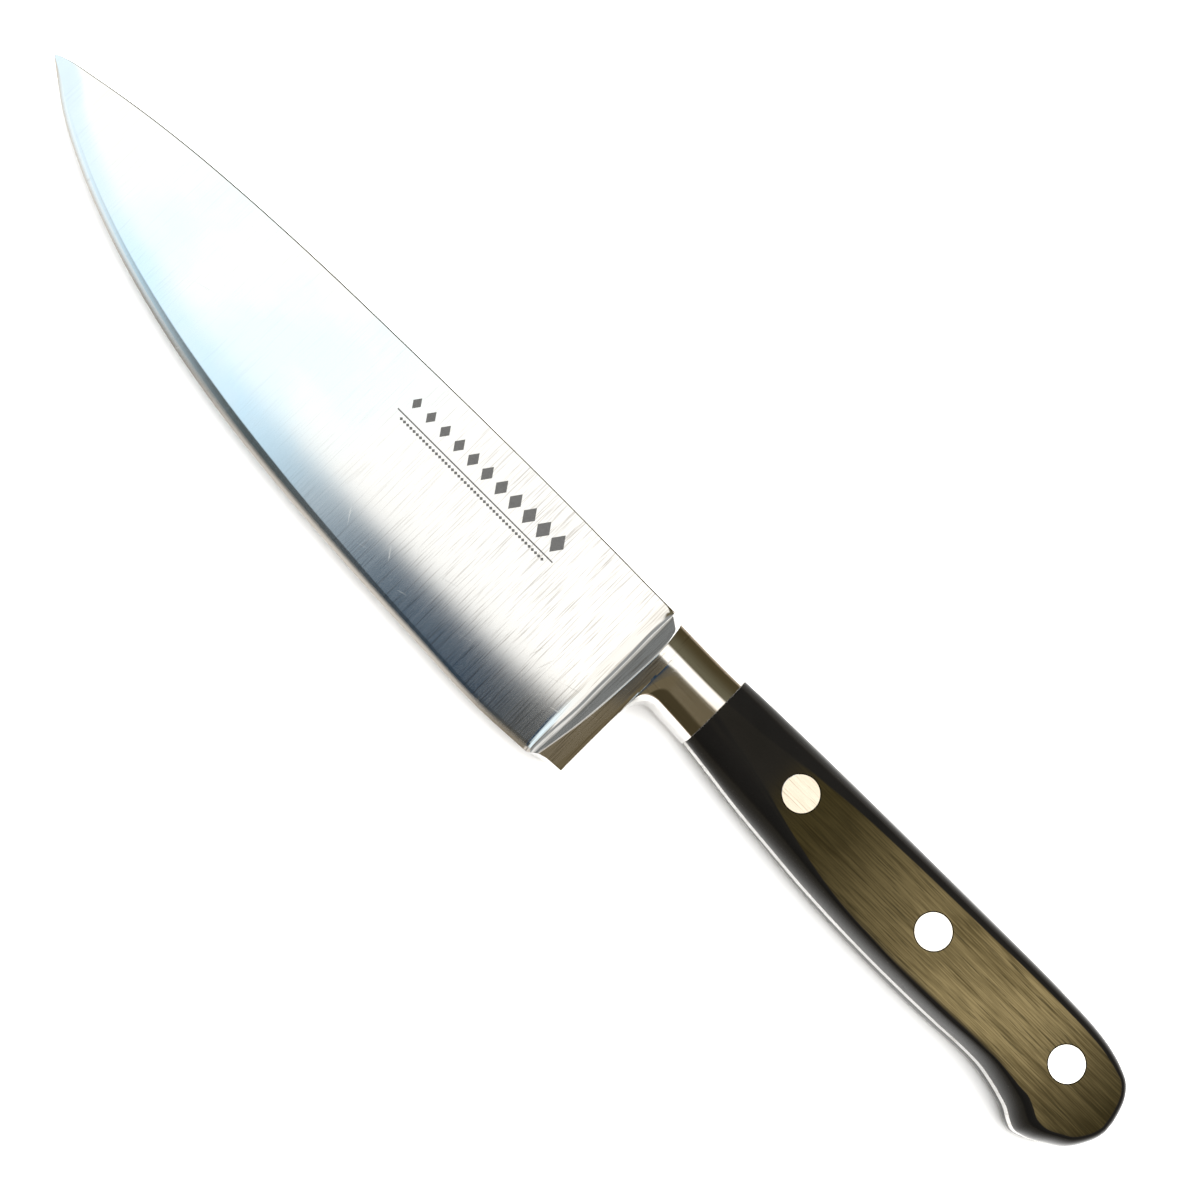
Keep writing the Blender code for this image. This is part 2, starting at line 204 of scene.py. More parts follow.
# %% [markdown]
# ## Cross-sections of the forging
#
# The forging changes its section all the way: a thin wedge in the blade, a hollow sweep up
# to the bolster's crest, an egg-shaped shank and a flat tang. A subdivision cage would round
# off the crisp lines that a grinder leaves. So the piece is a loft: every section has the
# same number of points, a skin joins them, and chosen lines stay sharp.
#
# The blade's section is a taper with a slightly crowned flank, a rounded corner at the spine
# and a narrow ground bevel along the cutting edge. The last row of points stands off from
# the bevel, most of all halfway along, so the shading turns into the bevel over a wider strip
# there and mirrors a darker part of the room.

# %% The blade's section
UPPER_STEPS, LOWER_STEPS = 18, 20
BEVEL_HEIGHT, BEHIND_EDGE_HALF, EDGE_HALF = 1.0, 0.22, 0.02
SPINE_BREAK, CORNER_STEPS, CROWN = 0.38, 3, 0.15
STRIP_EXTRA, STRIP_X, STRIP_REACH = 0.8, 66, 36


def blade_section(x):
    """Half section from the back down to the edge, as (y, z)."""
    top, low = back_y(x), low_y(x)
    height = top - low
    size = min(1.0, height / 34)
    spine = smooth(SPINE_HALF, x)
    corner = min(SPINE_BREAK, spine * 0.45)
    behind = min(BEHIND_EDGE_HALF, spine * 0.45)
    bevel = min(BEVEL_HEIGHT, 0.18 * height)
    first, last = top - corner, low + bevel

    def on_flank(y):
        share = (first - y) / (first - last)
        return spine + (behind - spine) * share + CROWN * size * 4 * share * (1 - share)

    half = [(top, 0), (top, spine - corner)]
    for k in range(1, CORNER_STEPS):
        angle = math.pi / 2 * k / CORNER_STEPS
        half.append((top - corner * (1 - math.cos(angle)), spine - corner * (1 - math.sin(angle))))
    for k in range(UPPER_STEPS):
        drop = 1 - math.cos(math.pi / 2 * k / (UPPER_STEPS - 1))
        y = first - ROUND_PART * size * drop
        half.append((y, on_flank(y)))
    start = half[-1][0]
    for k in range(1, LOWER_STEPS):
        y = start + (last - start) * k / (LOWER_STEPS - 1)
        if k == LOWER_STEPS - 2:
            strip = 0.6 * bevel + STRIP_EXTRA * math.exp(-(((x - STRIP_X) / STRIP_REACH) ** 2))
            y = last + min(strip, 1.4 * (start - last) / (LOWER_STEPS - 1))
        half.append((y, on_flank(y)))
    return half + [(low, EDGE_HALF), (low, 0)]


SPINE_COLUMN, FLANK_COLUMN = 1, 1 + CORNER_STEPS
BEVEL_COLUMN = CORNER_STEPS + UPPER_STEPS + LOWER_STEPS - 1
print("points in a half section:", len(blade_section(80)))

# %% [markdown]
# ## The bolster and the shank
#
# The full bolster runs down to the heel and thins as it goes. Behind it the shank is ground
# out for the finger: a wheel leaves a curved hollow under the handle, and where that hollow
# meets the flank there is a crease. Both share the bolster's flank, so they blend without a
# step.

# %% Sections behind the blade


def upper_angles():
    steps = [k / CORNER_STEPS for k in range(1, CORNER_STEPS)] + list(range(1, UPPER_STEPS + 1))
    return [math.pi / 2 * k / UPPER_STEPS for k in steps]


def flank_z(y, top):
    """Half thickness of the bolster and shank at height y."""
    centre = top - ROUND_PART
    if y >= centre:
        across = 1 - ((y - centre) / ROUND_PART) ** 2
        return FLAT_BACK_HALF + (BOLSTER_HALF - FLAT_BACK_HALF) * math.sqrt(max(0.0, across))
    share = (centre - y) / (centre - BOLSTER_LOWEST)
    return BOLSTER_HALF + (BOLSTER_HALF_AT_HEEL - BOLSTER_HALF) * share ** 1.5


def upper_flank(top):
    half = [(top, 0), (top, FLAT_BACK_HALF)]
    for angle in upper_angles():
        y = top - ROUND_PART * (1 - math.cos(angle))
        half.append((y, flank_z(y, top)))
    return half


def bolster_section(x, rear_break=0.0):
    top, low = back_y(x), low_y(x)
    half = upper_flank(top)
    start = half[-1][0]
    for k in range(1, LOWER_STEPS + 1):
        y = start + (low - start) * k / LOWER_STEPS
        half.append((y, flank_z(y, top) - rear_break * ease((start - y) / 8 - 1)))
    return half + [(low, 0)]


CREASE_STEPS, CREASE_ANGLE, BELLY_FULLNESS = 6, math.radians(25), 0.5
FILLET_DROP, CREASE_Y, CREASE_DROP = 7.2, -5.2, 11.25


def shank_section(x):
    """Half section between the bolster and the scales, with a crease above its belly."""
    top = back_y(x)
    turn = min(1.0, (x - REAR_FACE_X) / (FILLET_END_X - REAR_FACE_X))
    low = smooth(BELLY_LINE, x) - FILLET_DROP * (1 - math.sqrt(1 - (1 - turn) ** 2))
    turn = min(1.0, (x - REAR_FACE_X) / (CREASE_END_X - REAR_FACE_X))
    crease = CREASE_Y - CREASE_DROP * (1 - math.sqrt(1 - (1 - turn) ** 2))
    half = upper_flank(top)
    start = half[-1][0]
    for k in range(1, CREASE_STEPS + 1):
        y = start + (crease - start) * k / CREASE_STEPS
        half.append((y, flank_z(y, top)))
    z_crease = half[-1][1]
    rest = LOWER_STEPS - CREASE_STEPS
    begin = math.sin(CREASE_ANGLE)
    for k in range(1, rest + 1):
        angle = CREASE_ANGLE + (math.pi / 2 - CREASE_ANGLE) * k / rest
        y = crease - (crease - low) * (math.sin(angle) - begin) / (1 - begin)
        z = (math.cos(angle) / math.cos(CREASE_ANGLE)) ** BELLY_FULLNESS
        half.append((y, FLAT_BACK_HALF + (z_crease - FLAT_BACK_HALF) * z))
    return half + [(low, 0)]


CREASE_COLUMN = CORNER_STEPS + UPPER_STEPS + CREASE_STEPS
print("points in each section:", {len(s(x)) for s, x in
      ((blade_section, 90), (bolster_section, 152), (shank_section, 160))})

# %% [markdown]
# ## Rings that follow the bolster's curved front
#
# Seen from the side, the bolster's front edge isn't straight: it leans back at the spine and
# sweeps forward at the heel. If the loft's rings stood square, they would cut across that
# line and make it ragged. Here each ring bends with the line, so the crest is one clean row
# of points. The front itself is a hollow that turns up to a knee, then a straight slope.

# %% Rings of the forging
CREST_LINE = (
    (0, 150.5), (0.05, 151.3), (0.12, 151.7), (0.25, 152), (0.4, 151.8),
    (0.6, 151.4), (0.79, 150.7), (0.89, 150.1), (1, 149.4),
)
HOLLOW_START = ((0, 146.1), (0.5, 146), (0.8, 146.2), (1, 146.9))
KNEE_LINE = ((0, 149.15), (0.6, 149.15), (1, 149.3))
KNEE_SHARE = ((0, 0.16), (0.5, 0.17), (0.8, 0.34), (0.92, 0.62), (1, 0.95))
REAR_BREAK = 0.2


def whole_ring(half):
    return half + [(x, y, -z) for x, y, z in reversed(half[1:-1])]


def ring_at(section, x):
    return whole_ring([(x, y, z) for y, z in section(x)])


def shares_of_height():
    nominal = bolster_section(151)
    top, low = nominal[0][0], nominal[-1][0]
    return [(top - y) / (top - low) for y, _ in nominal]


def front_ring(step, beyond=0.0, fullness=None):
    """A ring on the bolster's front: a hollow up to a knee, then a straight slope to the crest."""
    half = []
    for j, t in enumerate(shares_of_height()):
        start, knee, crest = (smooth(line, t) for line in (HOLLOW_START, KNEE_LINE, CREST_LINE))
        share = smooth(KNEE_SHARE, t)
        if fullness is not None:
            x, share = crest + beyond, fullness
        elif step <= 0.5:
            x = start + (knee - start) * 2 * step
            share *= (2 * step) ** 3
        else:
            x = knee + (crest - knee) * (2 * step - 1)
            share += (1 - share) * (2 * step - 1)
        thin, thick = blade_section(x)[j], bolster_section(x)[j]
        y = thin[0] + (thick[0] - thin[0]) * share
        half.append((x, y, thin[1] + (thick[1] - thin[1]) * share))
    return whole_ring(half)


def middle_ring(share, beyond, rear_break=0.0, end=REAR_FACE_X):
    """A ring between the bolster's crest and its rear face."""
    half = []
    for j, t in enumerate(shares_of_height()):
        crest = smooth(CREST_LINE, t) + beyond
        x = crest + (end - crest) * share
        y, z = bolster_section(x, rear_break)[j]
        half.append((x, y, z))
    return whole_ring(half)


def rails():
    """Matching places along the handle's back and belly, from the shank to the butt."""
    count = 70
    xs = [RAIL_START_X + (RAIL_END_X - RAIL_START_X) * k / count for k in range(count)]
    top = [(x, back_y(x)) for x in xs] + path(TOP_END, 40)
    low = [(x, smooth(BELLY_LINE, x)) for x in xs] + path(LOW_END, 40)
    return top, low


def tang_ring(top, low):
    """A flat plate's section between the back and the belly, with broken corners."""
    corner = 0.15
    points = 1 + CORNER_STEPS + UPPER_STEPS + LOWER_STEPS
    deep = math.dist(top, low)
    shares = [0, 0, corner / deep]
    inner = points - 4
    shares += [corner / deep + (1 - 2 * corner / deep) * k / inner for k in range(1, inner + 1)]
    shares += [1, 1]
    half = []
    for j, share in enumerate(shares):
        x = top[0] + (low[0] - top[0]) * share
        y = top[1] + (low[1] - top[1]) * share
        z = 0 if j in (0, len(shares) - 1) else TANG_HALF
        if j in (1, len(shares) - 2):
            z = TANG_HALF - corner
        half.append((x, y, z))
    return whole_ring(half)


print("points in a tang section:", len(tang_ring((200, 4), (200, -15))) // 2 + 1)

# %% [markdown]
# ## The forging's skin
#
# The rings are joined face by face. Every face gets a finish by where it lies: the ground
# flank of the blade, its bright bevel, the polished bolster and shank, and the tang. A map
# laid flat over the side gives the brushed steel its grain direction.

# %% Skin the forging
FINISHES = ("blade_ground", "bevel_honed", "bolster_polished", "shank_polished", "tang_edge")
GRAIN_SCALE = 10


def forging_rings():
    """Every ring with the finish of the faces behind it."""
    rings = []
    reach = [0, 0.12, 0.3, 0.6, 1, 1.6, 2.4, 3.4, 4.8, 6.4, 8.2, 10.2]
    reach += [12.5 + 2.5 * k for k in range(51)] + [139.5, 141.5, 143]
    rings += [(ring_at(blade_section, x), "blade_ground") for x in reach]
    for step in (0, 0.04, 0.1, 0.17, 0.24, 0.31, 0.38, 0.44, 0.48, 0.5, 0.53, 0.6, 0.7, 0.8, 0.9, 0.96):
        rings.append((front_ring(step), "bolster_polished" if step > 0 else "blade_ground"))
    for beyond, fullness in ((-0.01, 0.99), (0.02, 0.995), (0.06, 0.998), (0.11, 0.9995)):
        rings.append((front_ring(1, beyond, fullness), "bolster_polished"))
    polished = [middle_ring(0, 0.15), middle_ring(0, 0.19), middle_ring(0.3, 0.35), middle_ring(0.7, 0.45)]
    polished.append(middle_ring(1, 0.45, end=REAR_FACE_X - REAR_BREAK))
    polished.append(middle_ring(1, 0.45, rear_break=REAR_BREAK))
    beyonds = [0.01, 0.04, 0.1, 0.18, 0.28, 0.4, 0.55, 0.72, 0.92, 1.15, 1.4, 1.7, 2.05]
    beyonds += [2.45, 2.9, 3.4, 4, 5, 6, 7.5, 9, 10.5, SHANK_END_X - REAR_FACE_X]
    rings += [(ring, "bolster_polished") for ring in polished]
    rings += [(ring_at(shank_section, REAR_FACE_X + beyond), "shank_polished") for beyond in beyonds]
    top, low = rails()
    first = (SHANK_END_X, top[0][1] - 0.01), (SHANK_END_X, low[0][1] + 0.01)
    rings.append((tang_ring(*first), "tang_edge"))
    rings += [(tang_ring(*pair), "tang_edge") for pair in zip(top, low)]
    return rings


def skin(name, rings, finishes):
    """A closed skin over rings, with a finish and a flat side map on every face."""
    bm = bmesh.new()
    grain = bm.loops.layers.uv.new("grain")
    rows = [[bm.verts.new(placed(*p)) for p in ring] for ring, _ in rings]
    around = len(rows[0])
    half = around // 2

    def column(k):
        return k if k <= half else around - k

    for number, (row, following) in enumerate(zip(rows, rows[1:])):
        finish = rings[number][1]
        for k in range(around):
            n = (k + 1) % around
            face = bm.faces.new((row[k], following[k], following[n], row[n]))
            lower = min(column(k), column(n))
            named = "bevel_honed" if finish == "blade_ground" and lower >= BEVEL_COLUMN else finish
            face.material_index = finishes.index(named)
            face.smooth = True
    bm.faces.new(rows[0])
    bm.faces.new(list(reversed(rows[-1])))
    bm.normal_update()
    for number, (row, (_, finish)) in enumerate(zip(rows[:-1], rings)):
        blade = finish == "blade_ground"
        sharp = {SPINE_COLUMN} | ({FLANK_COLUMN} if blade else set())
        if finish != "shank_polished":
            sharp.add(BEVEL_COLUMN + 1)
        if finish == "shank_polished":
            sharp.add(CREASE_COLUMN)
        if finish == "tang_edge":
            sharp = {1, 2, half - 1, half - 2}
        for k in range(around):
            if column(k) in sharp:
                bm.edges.get((row[k], rows[number + 1][k])).smooth = False
            if rings[number + 1][1] == "tang_edge" and finish != "tang_edge":
                for end in (row, rows[number + 1]):
                    bm.edges.get((end[k], end[(k + 1) % around])).smooth = False
    for face in bm.faces:
        for loop in face.loops:
            loop[grain].uv = (loop.vert.co.x * GRAIN_SCALE, loop.vert.co.y * GRAIN_SCALE)
    return in_scene(name, mesh_of(name, bm))


knife_forging = skin("knife_forging", forging_rings(), FINISHES)
print("forging:", len(knife_forging.data.polygons), "faces")

# %% [markdown]
# ## Holes for the rivets
#
# On the bench all three holes are drilled through scales and tang together, and each is then
# counterbored for the rivet's head. The cutters here are plain cylinders, thrown away after
# an exact Boolean, because only the holes they leave belong to the knife. The rivets' places
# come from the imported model.

# %% Drill through
RIVET_LABELS = ("front", "middle", "rear")
HEAD_RADIUS = (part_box("rivet_front_male")[1][0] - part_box("rivet_front_male")[0][0]) / 2 / MM
HEAD_THICK, TUBE_RADIUS = 2.0, 2.25
SHANK_PLAY, HEAD_PLAY, HOLE_SIDES = 0.05, 0.11, 128


def rivet_centre(label):
    low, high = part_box(f"rivet_{label}_male")
    return Vector(((low[0] + high[0]) / 2, (low[1] + high[1]) / 2, MIDDLE_Z))


def drill(piece, radius, low, high):
    """Cuts a round hole at each rivet, from low to high over the middle plane."""
    for label in RIVET_LABELS:
        centre = rivet_centre(label)
        bm = bmesh.new()
        bmesh.ops.create_cone(
            bm, cap_ends=True, segments=HOLE_SIDES, radius1=radius * MM, radius2=radius * MM,
            depth=(high - low) * MM,
            matrix=Matrix.Translation(centre + Vector((0, 0, (low + high) / 2 * MM))),
        )
        mesh = mesh_of("drill", bm)
        cutter = in_scene("drill", mesh)
        hole = piece.modifiers.new("drill", "BOOLEAN")
        hole.operation, hole.solver, hole.object = "DIFFERENCE", "EXACT", cutter
        made = baked(piece)
        piece.modifiers.remove(hole)
        old = piece.data
        piece.data = made
        bpy.data.meshes.remove(old)
        bpy.data.objects.remove(cutter)
        bpy.data.meshes.remove(mesh)


drill(knife_forging, TUBE_RADIUS + SHANK_PLAY, -10, 10)
print("rivet heads are", round(2 * HEAD_RADIUS, 2), "mm across")

# %% [markdown]
# ## The scales
#
# A scale starts as a slab of acetal as flat as the tang. Its outside is flat where the
# rivets are and rounded towards the back and the belly, with a small radius in the middle of
# the handle and a large one at the bolster, where it has to meet the shank's egg shape. A
# bevel modifier has one width all the way, so the scale is built as contours instead: each
# climbs a little towards the flank and closes in by a share of the local radius.

# %% Build a scale
ROUND_TOP = (
    (166.7, 7.0), (176, 6.6), (184, 5.4), (190, 4.8), (196, 4.2),
    (208, 3.7), (226, 3.3), (243, 3.0), (256, 2.7), (LENGTH, 2.1),
)
ROUND_LOW = (
    (166.7, 7.0), (176, 6.2), (184, 4.8), (190, 3.7), (196, 2.8),
    (204, 1.9), (214, 1.5), (244, 1.5), (250, 2.2), (255.5, 3.4),
    (259, 2.4), (263, 1.9), (LENGTH, 1.9),
)
ROUND_STEPS, RUNGS = 20, 8
TOP_TURN, LOW_TURN = 78, 84  # the rail points from which the rim turns round the butt
SEAM = 0.02


def swell(x):
    """Half thickness of the handle at x."""
    share = ease((x - RAIL_START_X) / (SWELL_END_X - RAIL_START_X))
    return BOLSTER_HALF + (HANDLE_HALF - BOLSTER_HALF) * share


def inset_rail(rail, table, turn_from, sign, angle):
    """The rail moved in and up to one angle of the rounded edge."""
    moved = []
    end = len(rail) - 1
    for k, (x, y) in enumerate(rail):
        turn = ease((k - turn_from) / (end - turn_from))
        away = Vector((-turn, sign * (1 - turn))).normalized()
        reach = smooth(table, x) * (1 - math.cos(angle))
        z0 = TANG_HALF + SEAM
        z = z0 + (swell(x) - z0) * math.sin(angle)
        moved.append((x + away.x * reach, y + away.y * reach, z))
    return moved


def scale(name, side):
    """One handle scale; side is 1 on the left flank and -1 on the right."""
    top, low = rails()
    count = len(top)
    bm = bmesh.new()
    layers = []
    for step in range(ROUND_STEPS + 1):
        angle = math.pi / 2 * step / ROUND_STEPS
        layers.append([
            [bm.verts.new(placed(x, y, side * z)) for x, y, z in rail]
            for rail in (inset_rail(top, ROUND_TOP, TOP_TURN, -1, angle),
                         inset_rail(low, ROUND_LOW, LOW_TURN, 1, angle))
        ])
    for (upper, lower), (upper2, lower2) in zip(layers, layers[1:]):
        for k in range(count - 1):
            bm.faces.new((upper[k], upper[k + 1], upper2[k + 1], upper2[k]))
            bm.faces.new((lower[k + 1], lower[k], lower2[k], lower2[k + 1]))
        bm.faces.new((upper[0], upper2[0], lower2[0], lower[0]))
        bm.faces.new((upper[-1], lower[-1], lower2[-1], upper2[-1]))
    for upper, lower in (layers[0], layers[-1]):
        rungs = [upper]
        for step in range(1, RUNGS):
            rungs.append([bm.verts.new(a.co.lerp(b.co, step / RUNGS)) for a, b in zip(upper, lower)])
        rungs.append(lower)
        for first, second in zip(rungs, rungs[1:]):
            for k in range(count - 1):
                bm.faces.new((first[k], first[k + 1], second[k + 1], second[k]))
    bmesh.ops.triangulate(bm, faces=[f for f in bm.faces if len(f.verts) > 4])
    bmesh.ops.holes_fill(bm, edges=bm.edges)
    bmesh.ops.recalc_face_normals(bm, faces=bm.faces)
    for face in bm.faces:
        face.smooth = True
    made = in_scene(name, mesh_of(name, bm))
    drill(made, TUBE_RADIUS + SHANK_PLAY, -20, 20)
    seat = HANDLE_HALF - HEAD_THICK - SHANK_PLAY
    drill(made, HEAD_RADIUS + HEAD_PLAY, *((seat, 20) if side > 0 else (-20, -seat)))
    made.data.set_sharp_from_angle(angle=math.radians(32))
    return made


left_scale = scale("left_scale", 1)
right_scale = scale("right_scale", -1)
print("scale:", len(left_scale.data.polygons), "faces")

# %% [markdown]
# ## Helpers for node trees
#
# The rivets, the etched mark, the finishes and the sky are all node trees. These helpers add
# one node each. A value is either another node's output, which is linked, or a plain number,
# which is set on the socket itself, so a tree reads as a short formula.

# %% Node helpers


def link(tree, source, target):
    tree.links.new(source, target)


def feed(tree, socket, value):
    """Links a node's output to the socket, or sets a plain value on it."""
    if isinstance(value, bpy.types.NodeSocket):
        link(tree, value, socket)
    else:
        socket.default_value = value


def node(tree, kind, **values):
    """A new node with values for its inputs; an underscore stands for a space in their names."""
    made = tree.nodes.new(kind)
    for name, value in values.items():
        feed(tree, made.inputs[name.replace("_", " ")], value)
    return made


def maths(tree, operation, *values, clamp=False):
    made = tree.nodes.new("ShaderNodeMath")
    made.operation, made.use_clamp = operation, clamp
    for socket, value in zip(made.inputs, values):
        feed(tree, socket, value)
    return made.outputs[0]


def vector_maths(tree, operation, *values):
    made = tree.nodes.new("ShaderNodeVectorMath")
    made.operation = operation
    for socket, value in zip(made.inputs, values):
        feed(tree, socket, value)
    return made.outputs["Value" if operation == "DISTANCE" else "Vector"]


def scaled(tree, vector, by):
    made = node(tree, "ShaderNodeVectorMath")
    made.operation = "SCALE"
    feed(tree, made.inputs[0], vector)
    feed(tree, made.inputs["Scale"], by)
    return made.outputs["Vector"]


def combined(tree, x=0.0, y=0.0, z=0.0):
    return node(tree, "ShaderNodeCombineXYZ", X=x, Y=y, Z=z).outputs[0]


def separated(tree, vector):
    return node(tree, "ShaderNodeSeparateXYZ", Vector=vector).outputs


def smooth_range(tree, value, low, high):
    """0 at low and 1 at high, smooth between; low may be the larger."""
    made = node(tree, "ShaderNodeMapRange", Value=value, From_Min=low, From_Max=high)
    made.interpolation_type = "SMOOTHSTEP"
    return made.outputs[0]


def blend(tree, share, first, second):
    """Mixes two colours, either of which may be a plain one."""
    made = tree.nodes.new("ShaderNodeMix")
    made.data_type = "RGBA"
    feed(tree, made.inputs[0], share)
    for socket, value in ((made.inputs[6], first), (made.inputs[7], second)):
        feed(tree, socket, (*value, 1) if isinstance(value, tuple) else value)
    return made.outputs[2]


def opened(name, kind, inputs, outputs):
    """A node tree with named sockets, each given as label, type and perhaps a default."""
    tree = bpy.data.node_groups.new(name, kind)
    for label, socket, *default in inputs:
        made = tree.interface.new_socket(label, in_out="INPUT", socket_type=f"NodeSocket{socket}")
        if default:
            made.default_value = default[0]
    for label, socket in outputs:
        tree.interface.new_socket(label, in_out="OUTPUT", socket_type=f"NodeSocket{socket}")
    return tree, tree.nodes.new("NodeGroupInput").outputs, tree.nodes.new("NodeGroupOutput").inputs


def closed(tree, geometry, given, out):
    """Ends a geometry tree with its material."""
    finish = node(tree, "GeometryNodeSetMaterial", Geometry=geometry, Material=given["Material"])
    link(tree, finish.outputs[0], out[0])
    return tree


print("node helpers ready")

# %% [markdown]
# ## The rivets
#
# Three cutler's rivets hold the scales. Each is a solid pin pressed into a tube, and both
# have a broad head that is ground flush with the flank. All three are alike, so one node tree
# makes them: it stands a head and a shank at each of three points. The head's small
# chamfer is a real one, because it draws the thin dark ring round the bright disc.

# %% A node tree for a row of rivets


def rivet_tree(name):
    """Cylinders and cones, realised at the points of the input mesh."""
    sizes = ("Head radius", "Head thickness", "Chamfer", "Shank radius", "Shank length", "Side")
    tree, given, out = opened(
        name, "GeometryNodeTree",
        [("Geometry", "Geometry"), *((label, "Float") for label in sizes), ("Material", "Material")],
        [("Geometry", "Geometry")],
    )
    join = tree.nodes.new("GeometryNodeJoinGeometry")

    def solid(bottom, top, depth, base):
        """A closed cone frustum whose base lies this deep under the head's face."""
        cone = node(tree, "GeometryNodeMeshCone", Vertices=96,
                    Radius_Bottom=bottom, Radius_Top=top, Depth=depth)
        lift = combined(tree, z=maths(tree, "MULTIPLY", base, -1))
        move = node(tree, "GeometryNodeTransform", Geometry=cone.outputs["Mesh"], Translation=lift)
        link(tree, move.outputs[0], join.inputs[0])

    chamfer, radius, thick = given["Chamfer"], given["Head radius"], given["Head thickness"]
    shank, deep = given["Shank radius"], given["Shank length"]
    solid(radius, maths(tree, "SUBTRACT", radius, chamfer), chamfer, chamfer)
    solid(radius, radius, maths(tree, "SUBTRACT", thick, chamfer), thick)
    overlap = maths(tree, "MULTIPLY", thick, 0.9)
    solid(shank, shank, deep, maths(tree, "ADD", overlap, deep))
    flip = maths(tree, "MULTIPLY", maths(tree, "SUBTRACT", 1, given["Side"]), math.pi / 2)
    place = node(tree, "GeometryNodeInstanceOnPoints", Points=given["Geometry"],
                 Instance=join.outputs[0], Rotation=combined(tree, x=flip))
    real = node(tree, "GeometryNodeRealizeInstances", Geometry=place.outputs[0])
    return closed(tree, real.outputs[0], given, out)


def grown(name, points, tree, values):
    """A plain mesh from a node tree fed with points and with values for its named inputs."""
    seed = bpy.data.meshes.new(name)
    seed.from_pydata([tuple(p) for p in points], [], [])
    made = in_scene(name, seed)
    grow = made.modifiers.new("grow", "NODES")
    grow.node_group = tree
    sockets = {item.name: item.identifier for item in tree.interface.items_tree if item.in_out == "INPUT"}
    for label, value in values.items():
        grow[sockets[label]] = value
    made.update_tag()
    result = baked(made)
    print(name, "grew", len(result.vertices), "points")
    made.modifiers.remove(grow)
    made.data = result
    bpy.data.meshes.remove(seed)
    return made


rivet_row = rivet_tree("rivet_row")
rivet_steel = bpy.data.materials.new("rivet_steel_flush")
RIVET_SIZES = {
    "Head radius": HEAD_RADIUS * MM, "Head thickness": HEAD_THICK * MM,
    "Chamfer": 0.09 * MM, "Shank radius": TUBE_RADIUS * MM, "Shank length": 6.0 * MM,
    "Material": rivet_steel,
}
SUNK = 0.005  # how far the heads stay under the flank, in millimetres


def rivet_heads(name, side):
    face = Vector((0, 0, side * (HANDLE_HALF - SUNK) * MM))
    points = [rivet_centre(label) + face for label in RIVET_LABELS]
    made = grown(name, points, rivet_row, {**RIVET_SIZES, "Side": float(side)})
    made.data.shade_smooth()
    made.data.set_sharp_from_angle(angle=math.radians(30))
    return made


left_rivets = rivet_heads("left_rivets", 1)
right_rivets = rivet_heads("right_rivets", -1)
print("left rivets reach z =", round(max(v.co.z for v in left_rivets.data.vertices) / MM, 3), "mm")

# %% [markdown]
# ## The etched mark
#
# Such blades carry a dark etched mark under the spine. Here it is a plain motif: a row of
# lozenges that grow towards the bolster, over a thin rule and a row of small ones. An etched
# mark lies in the surface, so the tree lays thin chips along a line and then drops every one
# of their points on the forging with a ray, which keeps them flush with the tapered flank.

# %% A node tree for chips laid on a surface


def etched_tree(name):
    sizes = ("Lozenge radius", "Growth", "Small radius", "Small drop", "Thickness",
             "Rule drop", "Rule width")
    tree, given, out = opened(
        name, "GeometryNodeTree",
        [("Geometry", "Geometry"), ("Start", "Vector"), ("End", "Vector"), ("Count", "Int"),
         ("Small count", "Int"), *((label, "Float") for label in sizes),
         ("Ground", "Object"), ("Material", "Material")],
        [("Geometry", "Geometry")],
    )
    start, end, thickness = given["Start"], given["End"], given["Thickness"]
    line = node(tree, "GeometryNodeCurvePrimitiveLine", Start=start, End=end)
    join = tree.nodes.new("GeometryNodeJoinGeometry")

    def row(count, radius, **values):
        """Four-sided chips spread along the line."""
        spread = node(tree, "GeometryNodeResampleCurve", Curve=line.outputs[0], Count=count)
        chip = node(tree, "GeometryNodeMeshCylinder", Vertices=4, Radius=radius, Depth=thickness)
        return node(tree, "GeometryNodeInstanceOnPoints", Points=spread.outputs[0],
                    Instance=chip.outputs[0], **values).outputs[0]

    def moved(geometry, way):
        return node(tree, "GeometryNodeTransform", Geometry=geometry, Translation=way).outputs[0]

    def moved_down(geometry, drop):
        return moved(geometry, combined(tree, y=maths(tree, "MULTIPLY", drop, -1)))

    share = maths(tree, "DIVIDE", tree.nodes.new("GeometryNodeInputIndex").outputs[0], given["Count"])
    size = maths(tree, "ADD", maths(tree, "MULTIPLY", share, given["Growth"]),
                 maths(tree, "SUBTRACT", 1, given["Growth"]))
    slim = combined(tree, x=maths(tree, "MULTIPLY", size, 0.7), y=size, z=1)
    link(tree, row(given["Count"], given["Lozenge radius"], Scale=slim), join.inputs[0])
    small = row(given["Small count"], given["Small radius"])
    link(tree, moved_down(small, given["Small drop"]), join.inputs[0])

    long = maths(tree, "MULTIPLY", vector_maths(tree, "DISTANCE", start, end), 1.1)
    extent = combined(tree, x=long, y=given["Rule width"], z=thickness)
    bar = node(tree, "GeometryNodeMeshCube", Size=extent, Vertices_X=40)
    middle = scaled(tree, vector_maths(tree, "ADD", start, end), 0.5)
    link(tree, moved_down(moved(bar.outputs[0], middle), given["Rule drop"]), join.inputs[0])
    real = node(tree, "GeometryNodeRealizeInstances", Geometry=join.outputs[0])

    ground = node(tree, "GeometryNodeObjectInfo", Object=given["Ground"])
    x, y, z = separated(tree, tree.nodes.new("GeometryNodeInputPosition").outputs[0])
    ray = node(tree, "GeometryNodeRaycast", Target_Geometry=ground.outputs["Geometry"],
               Source_Position=combined(tree, x=x, y=y, z=0.1), Ray_Direction=(0, 0, -1), Ray_Length=1)
    landed = vector_maths(tree, "ADD", ray.outputs["Hit Position"], combined(tree, z=z))
    settle = node(tree, "GeometryNodeSetPosition", Geometry=real.outputs[0], Position=landed)
    return closed(tree, settle.outputs[0], given, out)


